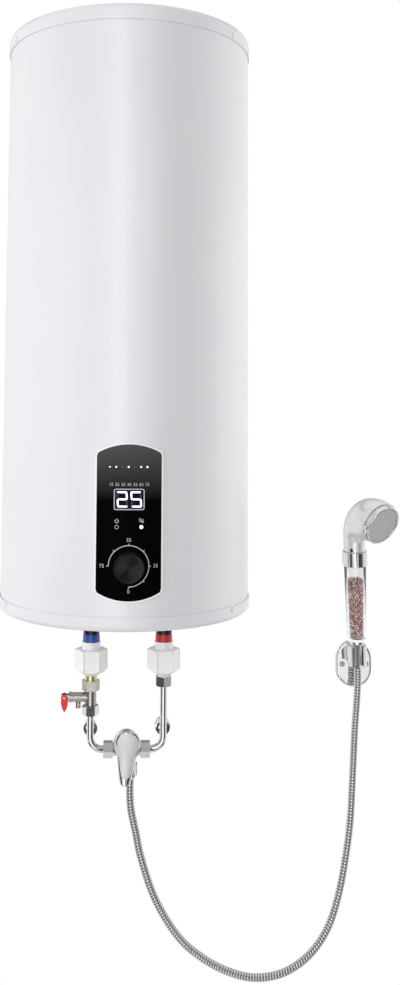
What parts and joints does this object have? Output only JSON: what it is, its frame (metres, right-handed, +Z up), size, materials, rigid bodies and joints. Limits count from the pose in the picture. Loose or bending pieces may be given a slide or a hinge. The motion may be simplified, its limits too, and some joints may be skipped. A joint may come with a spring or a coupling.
{
  "type": "electric water heater",
  "caption": "Wall-hung electric storage water heater: upright white cylinder with a curved control panel, safety valve, lever mixer, ribbed hose and hand shower in its wall holder.",
  "frame": {"origin": "on the wall plane, in the middle of the upper bracket's two bolt holes", "axes": "+Z up, +Y into the wall, so the front faces -Y; +X to the right as the picture shows it"},
  "size_m": [0.5854, 0.3688, 1.3286],
  "materials": {
    "white_paint": "gloss",
    "white_plastic": "satin",
    "foam": "matte",
    "enamel": "satin",
    "steel": "satin",
    "element_copper": "satin",
    "anode_metal": "matte",
    "black_rubber": "matte",
    "black_plastic": "satin",
    "ivory_plastic": "satin",
    "panel_black": "gloss",
    "board_green": "satin",
    "silver_trim": "satin",
    "lamp_lens": "gloss",
    "cold_blue": "satin",
    "hot_red": "satin",
    "brass_bare": "satin",
    "nickel": "satin",
    "chrome_metal": "polished",
    "lever_satin": "satin",
    "chromed_plastic": "polished",
    "clear_plastic": "gloss",
    "mineral": "matte",
    "head_grey": "satin",
    "plate_grey": "satin"
  },
  "bodies": {
    "heater": {"jacket": "white_paint", "top_cover": "white_plastic", "bottom_cover": "white_plastic", "cover_screws": "white_paint", "foam_insulation": "foam", "inner_tank": "enamel", "wall_bracket": "steel", "lower_bracket": "steel", "flange_plate": "steel", "flange_gasket": "black_rubber", "flange_bolts": "steel", "heating_element": "element_copper", "anode_rod": "anode_metal", "cold_inlet_pipe": "steel", "hot_outlet_pipe": "steel", "safety_cutout": "ivory_plastic", "terminal_block": "ivory_plastic", "cable_gland": "black_plastic", "panel_frame": "white_plastic", "panel_face": "panel_black", "control_board": "board_green", "display_module": "black_plastic", "display_trim": "silver_trim", "indicator_lamps": "lamp_lens", "status_lamps": "lamp_lens", "potentiometer": "black_plastic", "cold_collar": "cold_blue", "hot_collar": "hot_red", "union_sleeves": "white_plastic", "union_nuts": "white_plastic", "union_tails": "white_plastic", "brass_nipple": "brass_bare", "valve_body": "nickel", "relief_spring": "steel", "cold_pipe": "chrome_metal", "hot_pipe": "chrome_metal", "pipe_nuts": "chrome_metal", "rear_ports": "chrome_metal", "port_cap": "chrome_metal", "mixer_body": "chrome_metal", "mixer_cartridge": "ivory_plastic", "cartridge_cover": "chrome_metal", "shower_hose": "chrome_metal", "hose_nut": "chrome_metal", "holder_plate": "chromed_plastic", "holder_cradle": "chromed_plastic", "holder_screws": "steel"},
    "knob": {"temperature_knob": "panel_black"},
    "relief_lever": {"relief_lever": "hot_red"},
    "relief_stem": {"relief_stem": "brass_bare"},
    "mixer_spindle": {"mixer_spindle": "brass_bare"},
    "mixer_lever": {"mixer_lever": "lever_satin"},
    "hand_shower": {"hose_cone": "chromed_plastic", "shower_handle": "clear_plastic", "mineral_balls": "mineral", "handle_collar": "chromed_plastic", "shower_head": "head_grey"},
    "spray_dial": {"spray_ring": "chromed_plastic", "spray_plate": "plate_grey"}
  },
  "joints": [
    {"name": "temperature_turn", "type": "hinge", "parent": "heater", "child": "knob", "pos_m": [0, -0.365, -0.546], "axis": [0, -1, 0], "range_deg": [-225, 45]},
    {"name": "relief_lift", "type": "hinge", "parent": "heater", "child": "relief_lever", "pos_m": [-0.08126, -0.185, -0.749], "axis": [0, 1, 0], "range_deg": [0, 90]},
    {"name": "stem_pull", "type": "slide", "parent": "heater", "child": "relief_stem", "axis": [-1, 0, 0], "range_m": [0, 0.0025], "deforming": ["relief_spring"]},
    {"name": "mixer_turn", "type": "hinge", "parent": "heater", "child": "mixer_spindle", "pos_m": [0.005, -0.185, -0.8105], "axis": [0, -1, 0], "range_deg": [-41, 49]},
    {"name": "mixer_lift", "type": "hinge", "parent": "mixer_spindle", "child": "mixer_lever", "pos_m": [0.005, -0.2084, -0.8105], "axis": [-0.9976, 0, 0.0698], "range_deg": [0, 20]},
    {"name": "hand_shower_lift", "type": "slide", "parent": "heater", "child": "hand_shower", "axis": [-0.0434, -0.1045, 0.9936], "range_m": [0, 0.045], "deforming": ["shower_hose"]},
    {"name": "spray_turn", "type": "hinge", "parent": "hand_shower", "child": "spray_dial", "pos_m": [0.38672, -0.108, -0.52641], "axis": [0.469, -0.7673, -0.4373], "range_deg": [-30, 30]}
  ],
  "couplings": [
    {"joint": "relief_lift", "follows": "stem_pull", "rad_per_m": 628.93}
  ]
}
